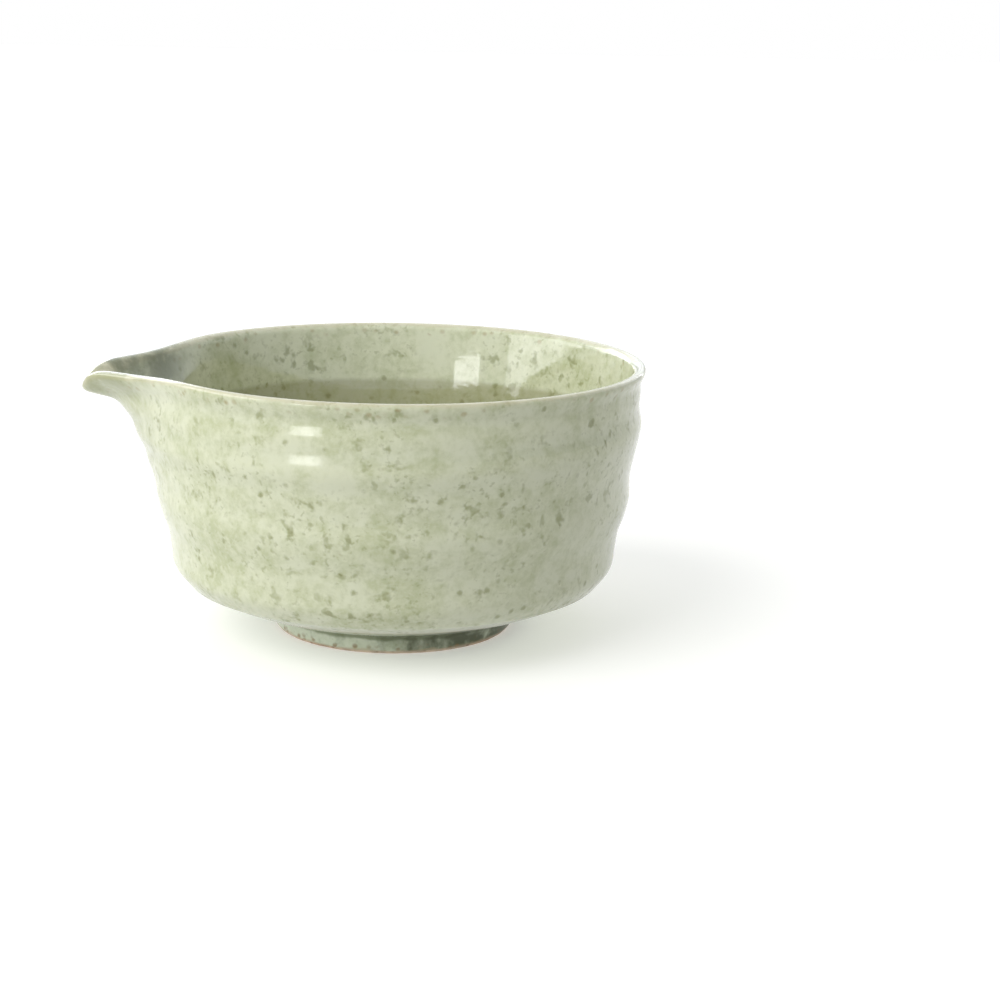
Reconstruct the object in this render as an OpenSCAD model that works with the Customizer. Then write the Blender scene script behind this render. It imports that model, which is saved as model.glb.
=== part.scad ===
// Matcha bowl with a pouring beak: a thrown stoneware wall, a luted beak and
// foot ring, the slip that joins them, and three coats of celadon glaze.
// Millimetres, +Z up. The origin is on the bowl's axis in the plane that the
// foot rests on, and the beak points along -X.

/* [Bowl] */
// Height of the rim above the table
bowl_height = 73.5; // [70:0.5:78]
// Outer radius of the round rim
rim_radius = 67.55; // [66.8:0.05:68.4]
// Thickness of the rounded lip, glaze included
lip_thickness = 3.2; // [2.8:0.1:3.6]
// Thickness of each coat of glaze
glaze_thickness = 0.5; // [0.4:0.05:0.6]

/* [Beak] */
// How far the beak's tip stands out from the round rim
beak_reach = 16.6; // [14:0.2:18]
// Angle in which the beak's plan falls away from its tip
beak_spread = 7.9; // [7.2:0.1:8.6]
// Half of the angle of wall that the beak takes up
beak_half_angle = 43; // [38:1:44]
// Height at which the beak starts to leave the wall
beak_base = 36.6; // [34:0.2:40]
// How far the rim dips on its way to the beak
rim_dip = 4; // [3:0.1:5]
// Angle over which the rim dips on each side of the beak
rim_dip_spread = 24; // [20:1:28]
// Depth of the channel between the beak's two lips
channel_dip = 5.6; // [4.5:0.1:6.5]
// Half of the channel's width, as an angle
channel_spread = 4.6; // [4:0.1:5.2]

/* [Foot] */
// Outer radius of the foot ring, glaze included
foot_radius = 32.7; // [31:0.1:34]
// Inner radius of the foot ring where it rests
foot_bore_radius = 26.5; // [25:0.5:27]
// Height of the foot ring
foot_ring_height = 4.2; // [4:0.1:4.6]
// Height of bare clay at the bottom edge of the foot
bare_edge = 0.8; // [0.6:0.1:1]

/* [Joints] */
// Thickness of the slip in each joint
slip_thickness = 0.6; // [0.4:0.1:0.8]

/* [Hidden] */
$fn = 128;

clay_colour = "#d9cbb2";
slip_colour = "#cbbba0";
glaze_colour = "#d3d8bd";
glaze = glaze_thickness;
lip_radius = lip_thickness / 2;
lip_centre_z = bowl_height - lip_radius;
joint_top = foot_ring_height + slip_thickness;

// ---- outer shape, as radius and height ----

// the wall's throwing rings, from the turn of the belly up to the lip
wall_rings = [[56.5, 13.9], [60, 18.5], [60.8, 23.5], [61.6, 28.5], [63.3, 33.5], [64.3, 38],
              [64.3, 43], [65.2, 49], [66.5, 54], [66.8, 58.5], [66.4, 64], [66.5, 68.5],
              [rim_radius, lip_centre_z]];
// the underside, from the top of the foot out to the belly
underside_points = [[foot_radius + 0.2, joint_top - 0.5], [foot_radius + 1.1, joint_top + 0.5],
                    [38.5, 6.8], [44.5, 8.7], [50, 10.9], [56.5, 13.9]];
// the inside, from the middle of the floor up to the wall
floor_points = [[0, 9.4], [20, 9.8], [34, 11.3], [44, 13.7], [51, 17], [55.4, 22], [57.6, 28.5]];
// the inside of the wall, which opens out more and more towards the lip
wall_inside = [[57.6, 28.5], [59, 36], [60, 44], [60.85, 51], [61.9, 57.5], [63.15, 65],
               [rim_radius - lip_thickness, lip_centre_z]];

function slope_at(rings, i) =
    let (a = rings[max(i - 1, 0)], b = rings[min(i + 1, len(rings) - 1)])
    (b[0] - a[0]) / (b[1] - a[1]);
// radius at a height, on a cubic through a list of rings
function radius_at(rings, z) =
    let (last = len(rings) - 1,
         i = max([for (k = [0:last - 1]) if (k == 0 || z >= rings[k][1]) k]),
         a = rings[i], b = rings[i + 1], h = b[1] - a[1], u = (z - a[1]) / h)
    a[0] * (1 - u) * (1 - u) * (1 + 2 * u) + b[0] * u * u * (3 - 2 * u)
    + h * slope_at(rings, i) * u * (1 - u) * (1 - u)
    - h * slope_at(rings, i + 1) * u * u * (1 - u);

// outer radius of the round wall at a height, carried straight on above the lip's centre
last_ring = len(wall_rings) - 1;
function wall_radius(z) =
    z > lip_centre_z
    ? wall_rings[last_ring][0] + slope_at(wall_rings, last_ring) * (z - lip_centre_z)
    : radius_at(wall_rings, z);
// thickness of the wall at a height
function wall_depth(z) = wall_radius(z) - radius_at(wall_inside, z);

// points of a smooth curve through the points of a list
function curve_through(p, steps = 4) =
    let (last = len(p) - 1,
         q = concat([2 * p[0] - p[1]], p, [2 * p[last] - p[last - 1]]))
    concat([for (i = [1:last], s = [0:steps - 1])
        let (t = s / steps)
        ((2 * q[i]) + (q[i + 1] - q[i - 1]) * t
         + (2 * q[i - 1] - 5 * q[i] + 4 * q[i + 1] - q[i + 2]) * t * t
         + (3 * q[i] - q[i - 1] - 3 * q[i + 1] + q[i + 2]) * t * t * t) / 2],
        [p[last]]);

// a curve moved sideways, to the left of its direction when the distance is positive
function moved_curve(p, distance) =
    [for (i = [0:len(p) - 1])
        let (t = p[min(i + 1, len(p) - 1)] - p[max(i - 1, 0)])
        p[i] + distance * [-t[1], t[0]] / norm(t)];

function reversed(p) = [for (i = [len(p) - 1:-1:0]) p[i]];

// the notch is wider than the beak by the slip at each side and under it
slip_angle = slip_thickness / wall_radius(beak_base) * 180 / PI;
notch_half_angle = beak_half_angle + slip_angle;
notch_base = beak_base - slip_thickness;

// heights at which the wall is worked out, below and above the beak's base
low_heights = [for (z = [16.5:2.5:33]) z];
beak_steps = 14;
beak_heights = [for (i = [0:beak_steps]) beak_base + (lip_centre_z - beak_base) * i / beak_steps];
wall_heights = concat(low_heights, [notch_base], beak_heights);
lip_steps = 4;

// ---- rails: places in the wall, as height and depth below the outer surface ----

function outer_rail(heights, depth, lip_end = 90) = concat(
    [for (z = heights) [z, depth]],
    [for (i = [1:lip_steps])
        let (a = lip_end * i / lip_steps, r = lip_radius - depth)
        [lip_centre_z + r * sin(a), lip_radius - r * cos(a)]]);
function inner_rail(heights, depth, lip_end = 90) = concat(
    [for (z = heights) [z, wall_depth(z) - depth]],
    [for (i = [1:lip_steps])
        let (a = lip_end * i / lip_steps, r = lip_radius - depth)
        [lip_centre_z + r * sin(a), lip_radius + r * cos(a)]]);
// all but the last point of a rail, which is the one on top of the lip
function open_top(rail) = [for (i = [0:len(rail) - 2]) rail[i]];
// a rail as radius and height on the round wall
function on_wall(rail) = [for (p = rail) [wall_radius(p[0]) - p[1], p[0]]];

// ---- the beak: the round wall drawn out along -X ----

// fades what the beak adds to the wall, to nothing at the beak's sides
function fade(angle) = pow(max(0, 1 - pow(angle / beak_half_angle, 4)), 2);
// share of the beak's reach at an angle from its middle: rounded at the tip, with long flanks
tip_point = 6;
function beak_share(angle) =
    let (e = exp(abs(angle) / beak_spread), u = 2 / (e + 1 / e))
    (tip_point + 1) * u / (tip_point + pow(u, 4)) * fade(angle);
// how far the rim dips at an angle from the beak's middle
function rim_drop(angle) =
    (rim_dip * exp(-pow(angle / rim_dip_spread, 2))
     + channel_dip * exp(-pow(angle / channel_spread, 2))) * fade(angle);
// how far up the beak a height is, from 0 to 1
function up_beak(z) = max(0, (z - beak_base) / (bowl_height - beak_base));
// share of the reach at a height: a soft throat at the base, then quicker and quicker
throat = 0.3;
throat_share = 0.12;
function beak_rise(z) =
    let (t = up_beak(z), u = min(1, t / throat))
    throat_share * u * u * (3 - 2 * u) + (1 - throat_share) * pow(t, 3.5);
// share of the rim's dip at a height
function drop_rise(z) = pow(up_beak(z), 3);

function beak_surface(angle, z) =
    let (r = wall_radius(z) + beak_reach * beak_share(angle) * beak_rise(z))
    [-r * cos(angle), r * sin(angle), z - rim_drop(angle) * drop_rise(z)];
function unit(v) = v / norm(v);
// direction into the wall, level where the wall is round
function inward(angle, z) =
    let (e = 0.02,
         across = beak_surface(angle + e, z) - beak_surface(angle - e, z),
         up = beak_surface(angle, z + e) - beak_surface(angle, z - e),
         slope = (wall_radius(z + e) - wall_radius(z - e)) / (2 * e),
         k = 1 / sqrt(1 + slope * slope))
    unit(unit(cross(across, up)) + [(1 - k) * cos(angle), (k - 1) * sin(angle), -k * slope]);
// a place in the wall, given as height and depth, at an angle from the beak's middle
function in_beak(angle, place) =
    abs(angle) >= beak_half_angle
    ? let (r = wall_radius(place[0]) - place[1]) [-r * cos(angle), r * sin(angle), place[0]]
    : beak_surface(angle, place[0]) + place[1] * inward(angle, place[0]);

// angles from the beak's middle, closest together at its tip
half_steps = 22;
function sweep_angles(half_angle) = [for (i = [-half_steps:half_steps])
    sign(i) * half_angle * pow(abs(i) / half_steps, 1.6)];

// a closed solid along the beak, whose section is a ring of places in the wall
module beak_sweep(section, half_angle) {
    angles = sweep_angles(half_angle);
    n = len(section);
    m = len(angles);
    points = [for (a = angles, p = section) in_beak(a, p)];
    sides = [for (j = [0:m - 2], i = [0:n - 1])
        let (a = j * n + i, b = j * n + (i + 1) % n)
        each [[a, b + n, b], [a, a + n, b + n]]];
    ladder = [for (i = [0:floor(n / 2) - 1])
        let (b = i + 1, c = n - 1 - b, d = n - 1 - i)
        each b < c ? [[i, b, c], [i, c, d]] : b == c ? [[i, b, d]] : []];
    far_end = [for (f = ladder) [for (k = [2:-1:0]) f[k] + (m - 1) * n]];
    polyhedron(points = points, faces = concat(sides, ladder, far_end), convexity = 6);
}

// everything within an angle of the beak's middle and above a height
module beak_wedge(half_angle, base) {
    far = 2 * rim_radius;
    above_rim = 5;
    translate([0, 0, base])
        linear_extrude(height = bowl_height - base + above_rim)
            polygon([[0, 0], [-far * cos(half_angle), far * sin(half_angle)],
                     [-far * cos(half_angle), -far * sin(half_angle)]]);
}

module turned(section) {
    rotate_extrude() polygon(section);
}

// ---- the coats over the beak ----

// the swept coat runs on into the turned coat at its sides and its base, and stays this far
// inside it on the side away from the axis, and this far on the near side, where flats bulge
coat_half_angle = beak_half_angle + 1;
far_inset = 0.02;
near_inset = 0.06;
coat_lip_end = 88;
coat_heights = concat([beak_base - 0.5, beak_base + 0.6],
    [for (i = [1:beak_steps]) beak_heights[i]]);

module outside_beak_coat() {
    beak_sweep(concat(outer_rail(coat_heights, far_inset, coat_lip_end),
        reversed(outer_rail(coat_heights, glaze - near_inset, coat_lip_end))), coat_half_angle);
}

module inside_beak_coat() {
    beak_sweep(concat(inner_rail(coat_heights, glaze - far_inset, coat_lip_end),
        reversed(inner_rail(coat_heights, near_inset, coat_lip_end))), coat_half_angle);
}

// ---- sections of the turned pieces ----

// height at which the glaze on the foot starts to swell into the groove above it
groove_start = joint_top - 1.2;
outer_underside = curve_through(underside_points);
// the clay under that swell starts as a corner on top of the joint, clear of it by this much
corner_gap = 0.3;
clay_underside = concat(
    [[foot_radius - glaze, joint_top]],
    [for (p = moved_curve(outer_underside, glaze)) if (p[1] > joint_top + corner_gap) p]);
clay_outside = concat(clay_underside, on_wall(outer_rail(wall_heights, glaze)));
glaze_outside = concat([[foot_radius, groove_start]], outer_underside,
    on_wall(outer_rail(wall_heights, 0)));
upper_heights = concat([notch_base], beak_heights);
floor_inside = curve_through(floor_points);
glaze_inside = concat(floor_inside, on_wall(inner_rail(upper_heights, 0)));
clay_floor = [for (p = moved_curve(floor_inside, -glaze)) [max(0, p[0]), p[1]]];
clay_inside = concat(clay_floor, on_wall(inner_rail(upper_heights, glaze)));

// the recess turned under the floor, inside the foot ring
recess_z = 5.9;
recess_radius = 22;
ring_top_bore = foot_bore_radius - 1.5;
// width of the rounding at the ring's inner edge
inner_edge = 0.4;
edge_angles = [0:30:90];

// ---- the pieces ----

// thrown wall and floor, with the notch that the beak is luted into
module bowl_wall() {
    color(clay_colour)
        difference() {
            turned(concat(
                [[0, recess_z], [recess_radius, recess_z], [ring_top_bore, joint_top]],
                clay_outside, reversed(open_top(clay_inside))));
            beak_wedge(notch_half_angle, notch_base);
        }
}

// drawn beak with its channel, made apart and set into the notch
module pouring_beak() {
    color(clay_colour)
        beak_sweep(concat(outer_rail(beak_heights, glaze),
            reversed(open_top(inner_rail(beak_heights, glaze)))), beak_half_angle);
}

// turned ring under the floor, bare where it rests
module foot_ring() {
    clay_radius = foot_radius - glaze;
    color(clay_colour)
        turned(concat(
            [for (a = edge_angles)
                [clay_radius - bare_edge * (1 - sin(a)), bare_edge * (1 - cos(a))]],
            [[clay_radius, foot_ring_height], [ring_top_bore, foot_ring_height]],
            [for (a = edge_angles)
                [foot_bore_radius - inner_edge * cos(a), bare_edge * (1 - sin(a))]]));
}

// slip that lutes the beak to both sides and the base of the notch
module beak_slip_joint() {
    section = concat(on_wall(outer_rail(upper_heights, glaze)),
        reversed(open_top(on_wall(inner_rail(upper_heights, glaze)))));
    color(slip_colour)
        difference() {
            rotate_extrude(angle = 2 * notch_half_angle, start = 180 - notch_half_angle)
                polygon(section);
            beak_wedge(beak_half_angle, beak_base);
        }
}

// slip that lutes the foot ring to the floor
module foot_slip_joint() {
    color(slip_colour)
        turned([[ring_top_bore, foot_ring_height], [foot_radius - glaze, foot_ring_height],
                [foot_radius - glaze, joint_top], [ring_top_bore, joint_top]]);
}

// coat from the bottom edge of the foot up over the beak and half of the lip
module outside_glaze() {
    edge = [for (a = edge_angles)
        [foot_radius - glaze * (1 - sin(a)), bare_edge + glaze * (1 - cos(a))]];
    color(glaze_colour) {
        difference() {
            turned(concat(edge, glaze_outside, reversed(clay_outside)));
            beak_wedge(beak_half_angle, beak_base);
        }
        outside_beak_coat();
    }
}

// coat over the floor, the inside of the wall and the beak's channel
module inside_glaze() {
    color(glaze_colour) {
        difference() {
            turned(concat(clay_inside, reversed(glaze_inside)));
            beak_wedge(beak_half_angle, beak_base);
        }
        inside_beak_coat();
    }
}

// coat in the recess under the floor and down the inside of the foot ring
module foot_well_glaze() {
    color(glaze_colour)
        turned([[0, recess_z - glaze], [recess_radius, recess_z - glaze],
                [ring_top_bore - glaze, joint_top - glaze],
                [foot_bore_radius - inner_edge - glaze, bare_edge + glaze],
                [foot_bore_radius - inner_edge, bare_edge], [ring_top_bore, foot_ring_height],
                [ring_top_bore, joint_top], [recess_radius, recess_z], [0, recess_z]]);
}

bowl_wall();
pouring_beak();
foot_ring();
beak_slip_joint();
foot_slip_joint();
outside_glaze();
inside_glaze();
foot_well_glaze();
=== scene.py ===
import bpy
import math
import numpy as np
from mathutils import Matrix, Vector


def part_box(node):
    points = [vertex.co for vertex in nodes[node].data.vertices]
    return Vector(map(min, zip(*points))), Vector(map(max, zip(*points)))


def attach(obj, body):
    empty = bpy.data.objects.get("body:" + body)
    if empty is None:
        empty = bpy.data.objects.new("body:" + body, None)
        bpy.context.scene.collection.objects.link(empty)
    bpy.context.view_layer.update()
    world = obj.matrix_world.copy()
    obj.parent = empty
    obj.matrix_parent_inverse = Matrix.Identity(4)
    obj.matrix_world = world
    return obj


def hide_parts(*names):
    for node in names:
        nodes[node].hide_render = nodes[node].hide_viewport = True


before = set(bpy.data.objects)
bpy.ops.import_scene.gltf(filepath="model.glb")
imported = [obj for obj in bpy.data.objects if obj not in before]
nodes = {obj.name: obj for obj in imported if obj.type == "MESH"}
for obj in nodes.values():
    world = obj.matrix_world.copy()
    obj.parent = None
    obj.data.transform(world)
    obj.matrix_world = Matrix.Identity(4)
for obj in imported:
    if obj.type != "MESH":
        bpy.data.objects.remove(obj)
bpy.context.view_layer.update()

# ---------------------------------------------------------------- sizes
# Lengths in the shape functions are millimetres, in the frame of the CAD model,
# and the CAD nodes' boxes give the sizes that the coats have to meet.

MM = 0.001
coat_low, coat_high = (np.array(v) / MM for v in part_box("outside_glaze"))
ring_high = np.array(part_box("foot_ring")[1]) / MM
recess_z = float(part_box("foot_well_glaze")[1][2] / MM)
floor_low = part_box("inside_glaze")[0][2] / MM

BOWL_HEIGHT = float(coat_high[2])
GLAZE = 0.5
LIP_THICKNESS = 3.2
LIP_RADIUS = LIP_THICKNESS / 2
LIP_CENTRE_Z = BOWL_HEIGHT - LIP_RADIUS
FOOT_RADIUS = float(ring_high[0]) + GLAZE
FOOT_RING_HEIGHT = float(ring_high[2])
JOINT_TOP = FOOT_RING_HEIGHT + 0.6
BARE_EDGE = float(coat_low[2])
FOOT_BORE = 26.5
INNER_EDGE = 0.4
RING_TOP_BORE = FOOT_BORE - 1.5

BEAK_REACH = 16.6
BEAK_SPREAD = 7.9
TIP_POINT = 6
BEAK_HALF_ANGLE = 43
BEAK_BASE = 36.6
RIM_DIP = 4
RIM_DIP_SPREAD = 24
CHANNEL_DIP = 5.6
CHANNEL_SPREAD = 4.6
THROAT = 0.3
THROAT_SHARE = 0.12
RIDGE_PITCH = 8.7
RIDGE_DEPTH = 0.18
RIDGE_START = 0.57
# how much less the lip's crest dips at the channel than the channel itself does
CREST_SHORT = 1.4

# radius and height of the throwing rings outside, of the underside, the floor and the wall inside
RIM_RADIUS = 67.55
WALL_RINGS = np.array([
    [56.5, 13.9], [60, 18.5], [60.8, 23.5], [61.6, 28.5], [63.3, 33.5], [64.3, 38], [64.3, 43],
    [65.2, 49], [66.5, 54], [66.8, 58.5], [66.4, 64], [66.5, 68.5], [RIM_RADIUS, LIP_CENTRE_Z],
])
UNDERSIDE = [
    [FOOT_RADIUS + 0.2, JOINT_TOP - 0.5], [FOOT_RADIUS + 1.1, JOINT_TOP + 0.5],
    [38.5, 6.8], [44.5, 8.7], [50, 10.9], [56.5, 13.9],
]
FLOOR = [[0, 9.4], [20, 9.8], [34, 11.3], [44, 13.7], [51, 17], [55.4, 22], [57.6, 28.5]]
WALL_INSIDE = np.array([
    [57.6, 28.5], [59, 36], [60, 44], [60.85, 51], [61.9, 57.5], [63.15, 65],
    [RIM_RADIUS - LIP_THICKNESS, LIP_CENTRE_Z],
])


def slope_at(rings, i):
    a = rings[max(i - 1, 0)]
    b = rings[min(i + 1, len(rings) - 1)]
    return (b[0] - a[0]) / (b[1] - a[1])


def radius_at(rings, z):
    """Radius at a height, on a cubic through a list of rings."""
    z = np.asarray(z, float)
    slopes = np.array([slope_at(rings, i) for i in range(len(rings))])
    i = np.clip(np.searchsorted(rings[:, 1], z, side="right") - 1, 0, len(rings) - 2)
    a, b = rings[i], rings[i + 1]
    h = b[..., 1] - a[..., 1]
    u = (z - a[..., 1]) / h
    return (
        a[..., 0] * (1 - u) ** 2 * (1 + 2 * u) + b[..., 0] * u * u * (3 - 2 * u)
        + h * slopes[i] * u * (1 - u) ** 2 - h * slopes[i + 1] * u * u * (1 - u)
    )


def wall_radius(z):
    z = np.asarray(z, float)
    above = RIM_RADIUS + slope_at(WALL_RINGS, len(WALL_RINGS) - 1) * (z - LIP_CENTRE_Z)
    return np.where(z > LIP_CENTRE_Z, above, radius_at(WALL_RINGS, np.minimum(z, LIP_CENTRE_Z)))


def wall_depth(z):
    return wall_radius(z) - radius_at(WALL_INSIDE, z)


def curve_through(points, steps):
    """Points of a smooth curve through the points of a list."""
    p = np.array(points, float)
    q = np.vstack([2 * p[0] - p[1], p, 2 * p[-1] - p[-2]])
    made = []
    for i in range(1, len(p)):
        for t in np.arange(steps) / steps:
            made.append((
                2 * q[i] + (q[i + 1] - q[i - 1]) * t
                + (2 * q[i - 1] - 5 * q[i] + 4 * q[i + 1] - q[i + 2]) * t ** 2
                + (3 * q[i] - q[i - 1] - 3 * q[i + 1] + q[i + 2]) * t ** 3
            ) / 2)
    made.append(p[-1])
    return np.array(made)


# ---------------------------------------------------------------- the beak's shape


def fade(angle):
    return np.maximum(0, 1 - (angle / BEAK_HALF_ANGLE) ** 4) ** 2


def up_beak(z):
    return np.maximum(0, (z - BEAK_BASE) / (BOWL_HEIGHT - BEAK_BASE))


def beak_surface(angle, z):
    u = 1 / np.cosh(angle / BEAK_SPREAD)
    share = (TIP_POINT + 1) * u / (TIP_POINT + u ** 4) * fade(angle)
    t = up_beak(z)
    throat = np.minimum(1, t / THROAT)
    rise = THROAT_SHARE * throat ** 2 * (3 - 2 * throat) + (1 - THROAT_SHARE) * t ** 3.5
    dip = RIM_DIP * np.exp(-((angle / RIM_DIP_SPREAD) ** 2))
    dip = (dip + CHANNEL_DIP * np.exp(-((angle / CHANNEL_SPREAD) ** 2))) * fade(angle)
    r = wall_radius(z) + BEAK_REACH * share * rise
    a = np.radians(angle)
    return np.stack([-r * np.cos(a), r * np.sin(a), z - dip * t ** 3], -1)


def unit(v):
    return v / np.linalg.norm(v, axis=-1, keepdims=True)


def inward(angle, z):
    """Direction into the wall, level where the wall is round."""
    e = 0.02
    across = beak_surface(angle + e, z) - beak_surface(angle - e, z)
    up = beak_surface(angle, z + e) - beak_surface(angle, z - e)
    slope = (wall_radius(z + e) - wall_radius(z - e)) / (2 * e)
    k = 1 / np.sqrt(1 + slope ** 2)
    a = np.radians(angle)
    level = np.stack([(1 - k) * np.cos(a), (k - 1) * np.sin(a), -k * slope], -1)
    return unit(unit(np.cross(across, up)) + level)


def in_wall(angle, height, depth):
    """Places in the wall, at an angle from the beak's middle, a height and a depth below the outside."""
    angle, height, depth = np.broadcast_arrays(*(np.asarray(v, float) for v in (angle, height, depth)))
    return beak_surface(angle, height) + depth[..., None] * inward(angle, height)


def turned(angle, radius, height):
    angle, radius, height = np.broadcast_arrays(*(np.asarray(v, float) for v in (angle, radius, height)))
    a = np.radians(angle)
    return np.stack([-radius * np.cos(a), radius * np.sin(a), height], -1)


# stations round the bowl, closest together at the beak's tip
HALF_STATIONS = 70
side = np.arange(1, HALF_STATIONS + 1) / HALF_STATIONS
beak_side = BEAK_HALF_ANGLE * side ** 1.5
BACK_STATIONS = 230
back = np.linspace(BEAK_HALF_ANGLE, 360 - BEAK_HALF_ANGLE, BACK_STATIONS + 1)[1:-1]
STATIONS = np.concatenate([[0], beak_side, back, 360 - beak_side[::-1]])
SIGNED = np.where(STATIONS > 180, STATIONS - 360, STATIONS)


def ring_of(radius, height):
    return turned(SIGNED, radius, height)


def finger_ridge(angle, z):
    """Depth of the shallow spiral ridge left by the potter's finger, from the belly to the lip."""
    turn = z / RIDGE_PITCH + np.asarray(angle) / 360 + RIDGE_START
    rising = np.clip((z - 40) / 20, 0, 1)
    under_lip = np.clip((LIP_CENTRE_Z - z) / 3, 0, 1)
    return RIDGE_DEPTH * rising * under_lip * np.sin(2 * math.pi * turn)


def outer_rings(depth, ridged=0, lip_steps=14):
    """Rings up the outside at a depth below it, from the top of the belly over half of the lip."""
    step = 0.9
    lower = np.arange(15, BEAK_BASE - step / 2, step)
    heights = np.concatenate([lower, np.linspace(BEAK_BASE, LIP_CENTRE_Z, 90)])
    rings = [in_wall(SIGNED, z, depth + ridged * finger_ridge(SIGNED, z)) for z in heights]
    for a in np.radians(np.linspace(0, 90, lip_steps + 1)[1:]):
        r = LIP_RADIUS - depth
        rings.append(in_wall(SIGNED, LIP_CENTRE_Z + r * np.sin(a), LIP_RADIUS - r * np.cos(a)))
    return rings


def inner_rings(depth, lip_steps=14):
    """Rings up the inside at a depth below it, from above the floor over half of the lip."""
    step = 1.1
    lower = np.arange(30, BEAK_BASE - step / 2, step)
    heights = np.concatenate([lower, np.linspace(BEAK_BASE, LIP_CENTRE_Z, 50)])
    rings = [in_wall(SIGNED, z, wall_depth(z) - depth) for z in heights]
    for a in np.radians(np.linspace(0, 90, lip_steps + 1)[1:]):
        r = LIP_RADIUS - depth
        rings.append(in_wall(SIGNED, LIP_CENTRE_Z + r * np.sin(a), LIP_RADIUS + r * np.cos(a)))
    return rings


# ---------------------------------------------------------------- meshes


def wavering(p, seed, size, cells):
    """A smooth wandering of one number over places in millimetres, from a few seeded waves."""
    rng = np.random.default_rng(seed)
    value = np.zeros(len(p))
    for _ in range(cells):
        direction = unit(rng.normal(size=3))
        value += np.sin(p @ direction * 2 * math.pi / size * rng.uniform(0.6, 1.5) + rng.uniform(0, 6.3))
    return value / math.sqrt(cells)


def piece(name, points, faces, slot, *replaced):
    mesh = bpy.data.meshes.new(name)
    mesh.from_pydata((points * MM).tolist(), [], faces)
    mesh.validate()
    mesh.polygons.foreach_set("use_smooth", [True] * len(mesh.polygons))
    made = bpy.data.objects.new(name, mesh)
    bpy.context.scene.collection.objects.link(made)
    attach(made, "root")
    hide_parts(*replaced)
    return made


def loft(rings, closed):
    """Points and faces of rings joined one to the next, and the last to the first when closed.
    A ring with all its points in one place becomes a point."""
    points, index = [], []
    for ring in rings:
        if np.ptp(ring, axis=0).max() < 1e-6:
            index.append([len(points)] * len(ring))
            points.append(ring[0])
        else:
            index.append(list(range(len(points), len(points) + len(ring))))
            points.extend(ring)
    faces = []
    n = len(rings[0])
    last = len(rings) if closed else len(rings) - 1
    for i in range(last):
        low, high = index[i], index[(i + 1) % len(rings)]
        for j in range(n):
            k = (j + 1) % n
            face = []
            for corner in (low[j], high[j], high[k], low[k]):
                if corner not in face:
                    face.append(corner)
            if len(face) > 2:
                faces.append(face)
    return np.array(points), faces


def outward(points, faces):
    """The faces turned so that the solid's volume is positive."""
    halves = np.array([f[:3] for f in faces] + [[f[0], f[2], f[3]] for f in faces if len(f) == 4])
    a, b, c = (points[halves[:, i]] for i in range(3))
    return faces if np.sum(a * np.cross(b, c)) > 0 else [f[::-1] for f in faces]


def moved(curve, distance):
    """A curve moved sideways, to the left of its direction."""
    t = np.gradient(curve, axis=0)
    t = t / np.linalg.norm(t, axis=1, keepdims=True)
    return curve + distance * np.stack([-t[:, 1], t[:, 0]], 1)


edge = np.radians(np.linspace(0, 90, 7))

# the coat outside: up from the foot's bare edge, over the groove, belly, wall and beak to the lip
under = curve_through(UNDERSIDE, 10)
low_face = np.stack([FOOT_RADIUS - GLAZE * (1 - np.sin(edge)), BARE_EDGE + GLAZE * (1 - np.cos(edge))], 1)
foot_face = np.stack([np.full(6, FOOT_RADIUS), np.linspace(BARE_EDGE + GLAZE, JOINT_TOP - 1.2, 7)[1:]], 1)
outside = [ring_of(r, z) for r, z in np.vstack([low_face, foot_face, under])] + outer_rings(0, ridged=1)
clay_side = moved(under, GLAZE)
clay_side = clay_side[clay_side[:, 1] > JOINT_TOP + 0.3]
behind = [ring_of(FOOT_RADIUS - GLAZE, JOINT_TOP)] + [ring_of(r, z) for r, z in clay_side]
points, faces = loft(outside + (behind + outer_rings(GLAZE))[::-1], True)
outer_coat = piece("glaze_coat_outside", points, outward(points, faces), "outside_glaze", "outside_glaze")

# the coat inside: from the middle of the floor up the wall and the beak's channel to the lip
floor = curve_through(FLOOR, 8)
floor[:, 1] += floor_low + GLAZE - FLOOR[0][1]
floor_back = moved(floor, -GLAZE)
floor_back[0] = [0, floor[0, 1] - GLAZE]
inside = [ring_of(r, z) for r, z in floor] + inner_rings(0)
behind = [ring_of(max(r, 0), z) for r, z in floor_back] + inner_rings(GLAZE)
points, faces = loft(inside + behind[::-1], False)
inner_coat = piece("glaze_coat_inside", points, outward(points, faces), "inside_glaze", "inside_glaze")

# the coat in the recess under the floor and down the inside of the foot ring
recess = curve_through([
    [0, recess_z - GLAZE], [14, recess_z - GLAZE - 0.05], [21, recess_z - GLAZE - 0.15],
    [RING_TOP_BORE - GLAZE, JOINT_TOP - GLAZE - 0.3], [FOOT_BORE - INNER_EDGE - GLAZE, BARE_EDGE + GLAZE],
    [FOOT_BORE - INNER_EDGE, BARE_EDGE],
], 8)
back_of_recess = np.array([
    [RING_TOP_BORE, FOOT_RING_HEIGHT], [RING_TOP_BORE, JOINT_TOP], [22, recess_z], [0, recess_z],
])
points, faces = loft([ring_of(r, z) for r, z in np.vstack([recess, back_of_recess])], False)
well_coat = piece("glaze_coat_foot_well", points, outward(points, faces), "foot_well_glaze", "foot_well_glaze")

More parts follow.
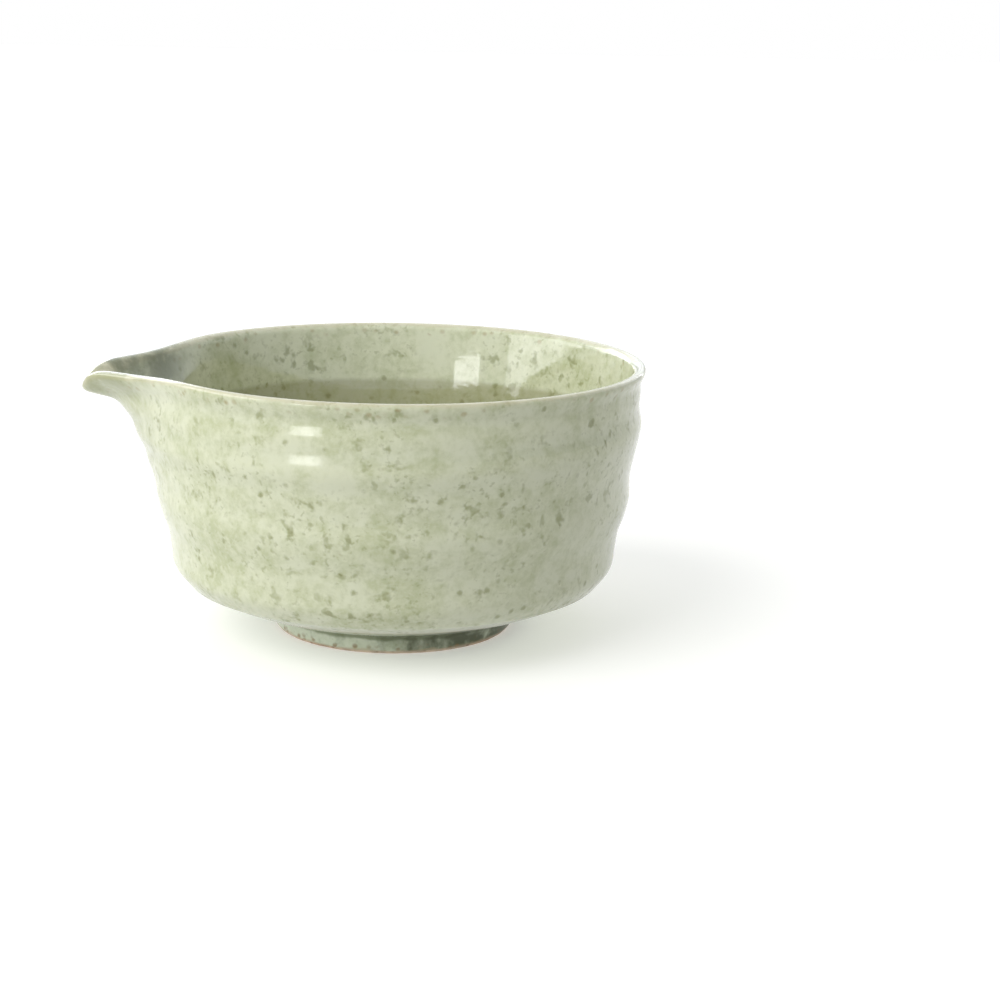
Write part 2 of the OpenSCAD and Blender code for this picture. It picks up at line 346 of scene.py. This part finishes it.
# the foot ring's clay, a little uneven where it was trimmed and rubbed smooth
clay_radius = FOOT_RADIUS - GLAZE
outer_edge = np.stack([clay_radius - BARE_EDGE * (1 - np.sin(edge)), BARE_EDGE * (1 - np.cos(edge))], 1)
inner_edge = np.stack([FOOT_BORE - INNER_EDGE * np.cos(edge), BARE_EDGE * (1 - np.sin(edge))], 1)
sole = np.stack([np.linspace(FOOT_BORE, clay_radius - BARE_EDGE, 10)[1:-1], np.zeros(8)], 1)
top = np.array([[clay_radius, FOOT_RING_HEIGHT], [RING_TOP_BORE, FOOT_RING_HEIGHT]])
section = np.vstack([sole, outer_edge, top, inner_edge])
points, faces = loft([ring_of(r, z) for r, z in section], True)
on_edge = (points[:, 2] > 0.02) & (points[:, 2] < BARE_EDGE * 0.99)
points[:, 2] += np.where(on_edge, 0.05 * np.abs(wavering(points, 5, 6, 8)), 0)
foot_clay = piece("foot_ring_clay", points, outward(points, faces), "foot_clay", "foot_ring")

# ---------------------------------------------------------------- materials


def linear(r, g, b):
    """A colour given in the usual 0 to 255 steps, as the shader wants it."""
    made = []
    for v in (r, g, b):
        v = v / 255
        made.append(v / 12.92 if v <= 0.04045 else ((v + 0.055) / 1.055) ** 2.4)
    return (*made, 1)


class Nodes:
    """Short calls for building one material's nodes."""

    def __init__(self, name):
        self.material = bpy.data.materials.new(name)
        self.material.use_nodes = True
        self.tree = self.material.node_tree
        self.tree.nodes.clear()
        self.shader = self.tree.nodes.new("ShaderNodeBsdfPrincipled")
        output = self.tree.nodes.new("ShaderNodeOutputMaterial")
        self.tree.links.new(self.shader.outputs[0], output.inputs[0])
        self.place = self.tree.nodes.new("ShaderNodeTexCoord").outputs["Object"]

    def put(self, value, socket):
        if isinstance(value, bpy.types.NodeSocket):
            self.tree.links.new(value, socket)
        else:
            socket.default_value = value

    def math(self, operation, *values):
        made = self.tree.nodes.new("ShaderNodeMath")
        made.operation = operation
        for value, socket in zip(values, made.inputs):
            self.put(value, socket)
        return made.outputs[0]

    def noise(self, scale, detail=3, rough=0.5, distortion=0, seed=0, stretch=(1, 1, 1)):
        """Noise from 0 to 1, with scale in features per metre."""
        mapping = self.tree.nodes.new("ShaderNodeMapping")
        mapping.inputs["Location"].default_value = (seed * 0.37, seed * 0.61, seed * 0.23)
        mapping.inputs["Scale"].default_value = stretch
        self.put(self.place, mapping.inputs["Vector"])
        made = self.tree.nodes.new("ShaderNodeTexNoise")
        made.noise_dimensions = "3D"
        self.put(mapping.outputs[0], made.inputs["Vector"])
        settings = {"Scale": scale, "Detail": detail, "Roughness": rough, "Distortion": distortion}
        for name, value in settings.items():
            made.inputs[name].default_value = value
        return made.outputs["Fac"]

    def specks(self, scale, seed=0):
        """Distance from the nearest of many scattered points, in cells, and that point's number."""
        mapping = self.tree.nodes.new("ShaderNodeMapping")
        mapping.inputs["Location"].default_value = (seed * 0.41, seed * 0.17, seed * 0.53)
        self.put(self.place, mapping.inputs["Vector"])
        made = self.tree.nodes.new("ShaderNodeTexVoronoi")
        self.put(mapping.outputs[0], made.inputs["Vector"])
        made.inputs["Scale"].default_value = scale
        apart = self.tree.nodes.new("ShaderNodeSeparateColor")
        self.put(made.outputs["Color"], apart.inputs[0])
        return made.outputs["Distance"], apart.outputs[0]

    def ramp(self, value, low, high):
        """0 below low, 1 above high, smooth between. It falls when low is the larger."""
        made = self.tree.nodes.new("ShaderNodeMapRange")
        made.interpolation_type = "SMOOTHSTEP"
        self.put(value, made.inputs["Value"])
        made.inputs["From Min"].default_value = min(low, high)
        made.inputs["From Max"].default_value = max(low, high)
        made.inputs["To Min"].default_value = 0 if low < high else 1
        made.inputs["To Max"].default_value = 1 if low < high else 0
        return made.outputs[0]

    def mix(self, share, a, b, blend="MIX"):
        made = self.tree.nodes.new("ShaderNodeMix")
        made.data_type = "RGBA"
        made.blend_type = blend
        self.put(share, made.inputs[0])
        self.put(a, made.inputs[6])
        self.put(b, made.inputs[7])
        return made.outputs[2]

    def height(self):
        apart = self.tree.nodes.new("ShaderNodeSeparateXYZ")
        self.put(self.place, apart.inputs[0])
        return apart.outputs

    def bump(self, value, distance, strength=1.0, normal=None):
        made = self.tree.nodes.new("ShaderNodeBump")
        made.inputs["Distance"].default_value = distance
        made.inputs["Strength"].default_value = strength
        self.put(value, made.inputs["Height"])
        if normal is not None:
            self.put(normal, made.inputs["Normal"])
        return made.outputs[0]


def rim_height(n, x, y, top):
    """Height above the lip's crest, which dips towards the beak, from the place alone."""
    across = n.math("ARCTAN2", y, n.math("MULTIPLY", x, -1))
    degrees = n.math("MULTIPLY", across, 180 / math.pi)
    wide = n.math("DIVIDE", degrees, RIM_DIP_SPREAD)
    narrow = n.math("DIVIDE", degrees, CHANNEL_SPREAD)
    wide = n.math("EXPONENT", n.math("MULTIPLY", n.math("MULTIPLY", wide, wide), -1))
    narrow = n.math("EXPONENT", n.math("MULTIPLY", n.math("MULTIPLY", narrow, narrow), -1))
    dip = n.math("MULTIPLY_ADD", wide, RIM_DIP * MM, n.math("MULTIPLY", narrow, (CHANNEL_DIP - CREST_SHORT) * MM))
    return n.math("SUBTRACT", top, n.math("ADD", BOWL_HEIGHT * MM, n.math("MULTIPLY", dip, -1)))


def celadon(name, inside=False, foot=False, gloss=0.17):
    n = Nodes(name)
    x, y, z = n.height()
    cream = linear(209, 212, 183)
    green = linear(150, 159, 100)
    deep = linear(118, 122, 62)
    # olive mottling from broad clouds down to fine grain
    clouds = n.noise(48, 3, 0.55, seed=1)
    mottle = n.noise(190, 4, 0.62, 0.3, seed=2)
    fine = n.noise(620, 3, 0.6, seed=3)
    field = n.math("MULTIPLY_ADD", clouds, 0.5, n.math("MULTIPLY", mottle, 0.8))
    field = n.math("MULTIPLY_ADD", fine, 0.4, field)
    colour = n.mix(n.math("MULTIPLY", n.ramp(field, 0.70, 1.12), 0.50), cream, green)
    # soft blots gathered in drifts, and a few round specks
    gather = n.ramp(n.noise(62, 3, 0.5, 0.4, seed=5), 0.36, 0.60)
    for scale, seed, low, high, amount in ((300, 7, 0.56, 0.74, 0.62), (640, 8, 0.56, 0.74, 0.36)):
        blot = n.ramp(n.noise(scale, 2, 0.5, 0.2, seed=seed), low, high)
        colour = n.mix(n.math("MULTIPLY", n.math("MULTIPLY", blot, gather), amount), colour, deep)
    away, pick = n.specks(300, 4)
    away = n.math("ADD", away, n.math("MULTIPLY", n.math("SUBTRACT", fine, 0.5), 0.6))
    spot = n.math("MULTIPLY", n.ramp(away, 0.36, 0.06), n.ramp(pick, 0.80, 0.95))
    colour = n.mix(n.math("MULTIPLY", spot, 0.6), colour, deep)
    n.shader.inputs["Roughness"].default_value = gloss
    n.shader.inputs["IOR"].default_value = 1.52
    n.shader.inputs["Subsurface Weight"].default_value = 0.12
    n.shader.inputs["Subsurface Radius"].default_value = (0.0035, 0.003, 0.0018)
    n.shader.inputs["Subsurface Scale"].default_value = 1.0
    if not foot:
        # the glaze breaks to tan where it runs thin over the lip, with darker specks just below
        below = rim_height(n, x, y, z)
        uneven = n.noise(210, 4, 0.6, seed=11)
        line = n.math("ADD", below, n.math("MULTIPLY", n.math("SUBTRACT", uneven, 0.5), 0.0016))
        lip = n.ramp(line, -0.0012, -0.0003)
        colour = n.mix(n.math("MULTIPLY", lip, 0.42), colour, linear(180, 164, 132))
        band = n.math("MULTIPLY", n.ramp(line, -0.0042, -0.0022), n.ramp(line, -0.0006, -0.0018))
        away, pick = n.specks(430, 12)
        spot = n.math("MULTIPLY", n.ramp(away, 0.5, 0.15), n.ramp(pick, 0.45, 0.7))
        colour = n.mix(n.math("MULTIPLY", n.math("MULTIPLY", spot, band), 0.5), colour, linear(150, 128, 78))
    if inside and not foot:
        # painted shade: the inside is darker and browner from a line downwards, where the near rim's shadow falls
        # on the far wall
        shade_line = n.math("ADD", z, n.math("MULTIPLY", n.math("SUBTRACT", clouds, 0.5), 0.002))
        colour = n.mix(n.math("MULTIPLY", n.ramp(shade_line, 0.0582, 0.0562), 0.44), colour, linear(112, 106, 56))
        # the glaze ran together in the beak's channel
        streaks = n.noise(110, 4, 0.6, 0.5, seed=51)
        run = n.math("MULTIPLY", n.ramp(x, -0.055, -0.065), n.ramp(streaks, 0.20, 0.60))
        colour = n.mix(n.math("MULTIPLY", run, 0.9), colour, linear(92, 96, 50))
    if not inside:
        # painted shade: the outside of the beak is darker and greener, where it overhangs and faces down
        drift = n.noise(120, 4, 0.6, 0.4, seed=52)
        beak_shade = n.math("MULTIPLY", n.ramp(x, -0.059, -0.071), n.ramp(drift, 0.25, 0.65))
        colour = n.mix(n.math("MULTIPLY", beak_shade, 0.6), colour, linear(140, 146, 98))
        # painted reflection: a cooler tint under the belly, where it reflects the pale floor
        under = n.ramp(z, 0.0150, 0.0068)
        colour = n.mix(n.math("MULTIPLY", under, 0.35), colour, linear(176, 190, 176))
        uneven = n.noise(150, 3, 0.6, seed=14)
        rise = n.math("ADD", z, n.math("MULTIPLY", n.math("SUBTRACT", uneven, 0.5), 0.0022))
        # darker in the groove over the foot: partly pooled glaze, partly painted shade in the crease
        pool_and_shade = n.math("MULTIPLY", n.ramp(rise, 0.0034, 0.0043), n.ramp(rise, 0.0064, 0.0052))
        colour = n.mix(n.math("MULTIPLY", pool_and_shade, 0.8), colour, linear(100, 110, 72))
        # dark blotches on the side of the foot, with painted shade that gathers them towards +X, the side away
        # from the key
        blotch_and_shade = n.math("MULTIPLY_ADD", x, 9, n.noise(120, 4, 0.6, 0.3, seed=16))
        low = n.ramp(rise, 0.0056, 0.0046)
        blotch_and_shade = n.math("MULTIPLY", n.ramp(blotch_and_shade, 0.36, 0.72), low)
        colour = n.mix(n.math("MULTIPLY", blotch_and_shade, 0.92), colour, linear(68, 74, 46))
        # brown specks and a rusty line where the glaze stops at the foot's edge
        away, pick = n.specks(520, 15)
        low = n.ramp(rise, 0.0030, 0.0014)
        spot = n.math("MULTIPLY", n.ramp(away, 0.55, 0.2), n.ramp(pick, 0.45, 0.7))
        colour = n.mix(n.math("MULTIPLY", n.math("MULTIPLY", spot, low), 0.75), colour, linear(120, 92, 50))
        colour = n.mix(n.math("MULTIPLY", n.ramp(rise, 0.0016, 0.0010), 0.5), colour, linear(166, 148, 116))
    n.put(colour, n.shader.inputs["Base Color"])
    # throwing lines, and the faint orange peel of the glaze
    turns = n.noise(420, 2, 0.5, seed=31, stretch=(0.03, 0.03, 1))
    skin = n.noise(260, 2, 0.5, seed=32)
    normal = n.bump(turns, 0.00002, 0.4)
    normal = n.bump(skin, 0.00006, 0.3, normal)
    n.put(normal, n.shader.inputs["Normal"])
    return n.material


def bare_clay(name, tone):
    n = Nodes(name)
    body = n.noise(300, 5, 0.65, seed=41)
    colour = n.mix(n.ramp(body, 0.35, 0.68), linear(*tone), linear(*(v * 0.84 for v in tone)))
    toast = n.noise(70, 3, 0.5, seed=42)
    colour = n.mix(n.math("MULTIPLY", n.ramp(toast, 0.42, 0.66), 0.5), colour, linear(150, 117, 84))
    away, pick = n.specks(700, 43)
    spot = n.math("MULTIPLY", n.ramp(away, 0.5, 0.2), n.ramp(pick, 0.55, 0.8))
    colour = n.mix(n.math("MULTIPLY", spot, 0.6), colour, linear(96, 66, 42))
    n.put(colour, n.shader.inputs["Base Color"])
    n.shader.inputs["Roughness"].default_value = 0.75
    grit = n.noise(1400, 3, 0.65, seed=44)
    n.put(n.bump(grit, 0.00012, 0.6), n.shader.inputs["Normal"])
    return n.material


def dress(obj, material):
    if not obj.data.materials:
        obj.data.materials.append(material)
    for i in range(len(obj.data.materials)):
        obj.data.materials[i] = material


outside_material = celadon("celadon_outside", gloss=0.12)
inside_material = celadon("celadon_inside", inside=True, gloss=0.05)
well_material = celadon("celadon_foot_well", inside=True, foot=True)
clay_material = bare_clay("stoneware", (205, 186, 158))
foot_material = bare_clay("toasted_stoneware", (192, 174, 148))
slip_material = bare_clay("fired_slip", (196, 180, 152))

dress(outer_coat, outside_material)
dress(inner_coat, inside_material)
dress(well_coat, well_material)
dress(foot_clay, foot_material)
dress(nodes["bowl_wall"], clay_material)
dress(nodes["pouring_beak"], clay_material)
dress(nodes["beak_slip_joint"], slip_material)
dress(nodes["foot_slip_joint"], slip_material)

# ---------------------------------------------------------------- floor, light and camera

mesh = bpy.data.meshes.new("floor")
HALF_FLOOR = 6.0
corners = [(-HALF_FLOOR, -HALF_FLOOR, 0), (HALF_FLOOR, -HALF_FLOOR, 0)]
corners += [(HALF_FLOOR, HALF_FLOOR, 0), (-HALF_FLOOR, HALF_FLOOR, 0)]
mesh.from_pydata(corners, [], [(0, 1, 2, 3)])
floor_object = bpy.data.objects.new("floor", mesh)
bpy.context.scene.collection.objects.link(floor_object)
paper = Nodes("pale_floor")
paper.shader.inputs["Base Color"].default_value = (0.80, 0.80, 0.79, 1)
paper.shader.inputs["Emission Color"].default_value = (1, 1, 0.985, 1)
paper.shader.inputs["Emission Strength"].default_value = 0.3
paper.shader.inputs["Roughness"].default_value = 0.9
paper.shader.inputs["Specular IOR Level"].default_value = 0.1
floor_object.data.materials.append(paper.material)
# the bounce from the floor comes from the lower half of the world instead
floor_object.visible_diffuse = False

# strengths of the soft light from all round, and what is added to it behind, above, below and on the left,
# and what reflections alone see more of above the horizon
ROOM_DIM = 0.40
ROOM_BACK = 0.47
ROOM_ABOVE = 0.12
ROOM_BELOW = 0.28
ROOM_LEFT = 0.2
TENT = 1.3

world = bpy.data.worlds.new("studio")
bpy.context.scene.world = world
world.use_nodes = True
sky = world.node_tree
sky.nodes.clear()


def sky_node(kind, *links):
    """A node of the world, with its first inputs linked to the outputs given."""
    made = sky.nodes.new(kind)
    for source, socket in zip(links, made.inputs):
        sky.links.new(source, socket)
    return made


def sky_rise(value, low, high, amount):
    """A soft rise from 0 to an amount, between two values of a direction's part."""
    made = sky_node("ShaderNodeMapRange", value)
    made.interpolation_type = "SMOOTHSTEP"
    made.inputs["From Min"].default_value = low
    made.inputs["From Max"].default_value = high
    made.inputs["To Min"].default_value = 0
    made.inputs["To Max"].default_value = amount
    return made.outputs[0]


def sky_sum(a, b):
    made = sky_node("ShaderNodeMath", a, b)
    made.operation = "ADD"
    return made.outputs[0]


# the room: a white backdrop behind, soft light overhead, more from the left than from the right
direction = sky_node("ShaderNodeSeparateXYZ", sky.nodes.new("ShaderNodeTexCoord").outputs["Generated"])
leftward = sky_node("ShaderNodeMath", direction.outputs["X"])
downward = sky_node("ShaderNodeMath", direction.outputs["Z"])
for turned_round in (leftward, downward):
    turned_round.operation = "MULTIPLY"
    turned_round.inputs[1].default_value = -1
room = sky_sum(
    sky_rise(direction.outputs["Y"], -0.3, 0.6, ROOM_BACK),
    sky_sum(
        sky_rise(direction.outputs["Z"], 0.35, 0.85, ROOM_ABOVE),
        sky_rise(leftward.outputs[0], -0.3, 0.8, ROOM_LEFT),
    ),
)
room = sky_sum(room, sky_rise(downward.outputs[0], 0, 0.5, ROOM_BELOW))
dim = sky_node("ShaderNodeMath", room)
dim.operation = "ADD"
dim.inputs[1].default_value = ROOM_DIM
lit = sky.nodes.new("ShaderNodeBackground")
lit.inputs["Color"].default_value = (0.985, 0.995, 1, 1)
sky.links.new(dim.outputs[0], lit.inputs["Strength"])
seen = sky.nodes.new("ShaderNodeBackground")
seen.inputs["Color"].default_value = (1, 1, 1, 1)
tent = sky.nodes.new("ShaderNodeBackground")
tent.inputs["Color"].default_value = (0.88, 0.94, 1, 1)
tent_strength = sky_sum(dim.outputs[0], sky_rise(direction.outputs["Z"], 0.07, 0.13, TENT))
sky.links.new(tent_strength, tent.inputs["Strength"])
path = sky.nodes.new("ShaderNodeLightPath").outputs
mirrored = sky_node("ShaderNodeMixShader", path["Is Glossy Ray"], lit.outputs[0], tent.outputs[0])
shown = sky_node("ShaderNodeMixShader", path["Is Camera Ray"], mirrored.outputs[0], seen.outputs[0])
sky_node("ShaderNodeOutputWorld", shown.outputs[0])


def panel(name, azimuth, distance, low, high, width, power, diffuse=True):
    """A softbox standing upright at an azimuth seen from the bowl: 0 is behind it and -90 on its left."""
    a = math.radians(azimuth)
    light = bpy.data.lights.new(name, "AREA")
    light.shape = "RECTANGLE"
    light.size = width
    light.size_y = high - low
    light.energy = power
    made = bpy.data.objects.new(name, light)
    bpy.context.scene.collection.objects.link(made)
    spot = Vector((math.sin(a) * distance, math.cos(a) * distance, (low + high) / 2))
    made.location = spot
    facing = Vector((-math.sin(a), -math.cos(a), 0))
    made.rotation_euler = facing.to_track_quat("-Z", "Y").to_euler()
    made.visible_diffuse = diffuse


panel("window_left", -94, 0.9, 0.15, 0.75, 0.80, 5.0, diffuse=False)
panel("window_back_left", -35, 1.1, 0.15, 0.7, 0.80, 4.0, diffuse=False)
panel("window_front_left", -141, 1.0, 0.02, 0.235, 0.25, 1.15)
panel("strip_back_right", 31, 1.1, 0.0, 0.6, 0.03, 0.35, diffuse=False)

# the overhead softbox, from the left and a little in front
key = bpy.data.lights.new("key", "SUN")
key.energy = 1.8
key.angle = math.radians(50)
key.color = (1, 0.995, 0.98)
key_object = bpy.data.objects.new("key", key)
bpy.context.scene.collection.objects.link(key_object)
key_azimuth, key_rise = math.radians(-127), math.radians(36)
from_key = Vector((
    math.sin(key_azimuth) * math.cos(key_rise),
    math.cos(key_azimuth) * math.cos(key_rise),
    math.sin(key_rise),
))
key_object.rotation_euler = from_key.to_track_quat("Z", "Y").to_euler()
key_object.visible_glossy = False

# camera: a long lens from in front, a little above
lens_mm = 78.1
distance, rise = 0.581, 0.1697
pitch, yaw, roll = math.radians(13.08), math.radians(2.86), math.radians(1.13)
forward = Vector((math.sin(yaw) * math.cos(pitch), math.cos(yaw) * math.cos(pitch), -math.sin(pitch)))
right = Vector((math.cos(yaw), -math.sin(yaw), 0))
up = right.cross(forward)
right, up = math.cos(roll) * right + math.sin(roll) * up, math.cos(roll) * up - math.sin(roll) * right
camera_data = bpy.data.cameras.new("camera")
camera_data.lens = lens_mm
camera_data.sensor_width = 36
camera = bpy.data.objects.new("camera", camera_data)
bpy.context.scene.collection.objects.link(camera)
turn = Matrix((right, up, -forward)).transposed()
camera.matrix_world = Matrix.Translation((0, -distance, rise)) @ turn.to_4x4()
bpy.context.scene.camera = camera

bpy.context.scene.view_settings.view_transform = "Standard"
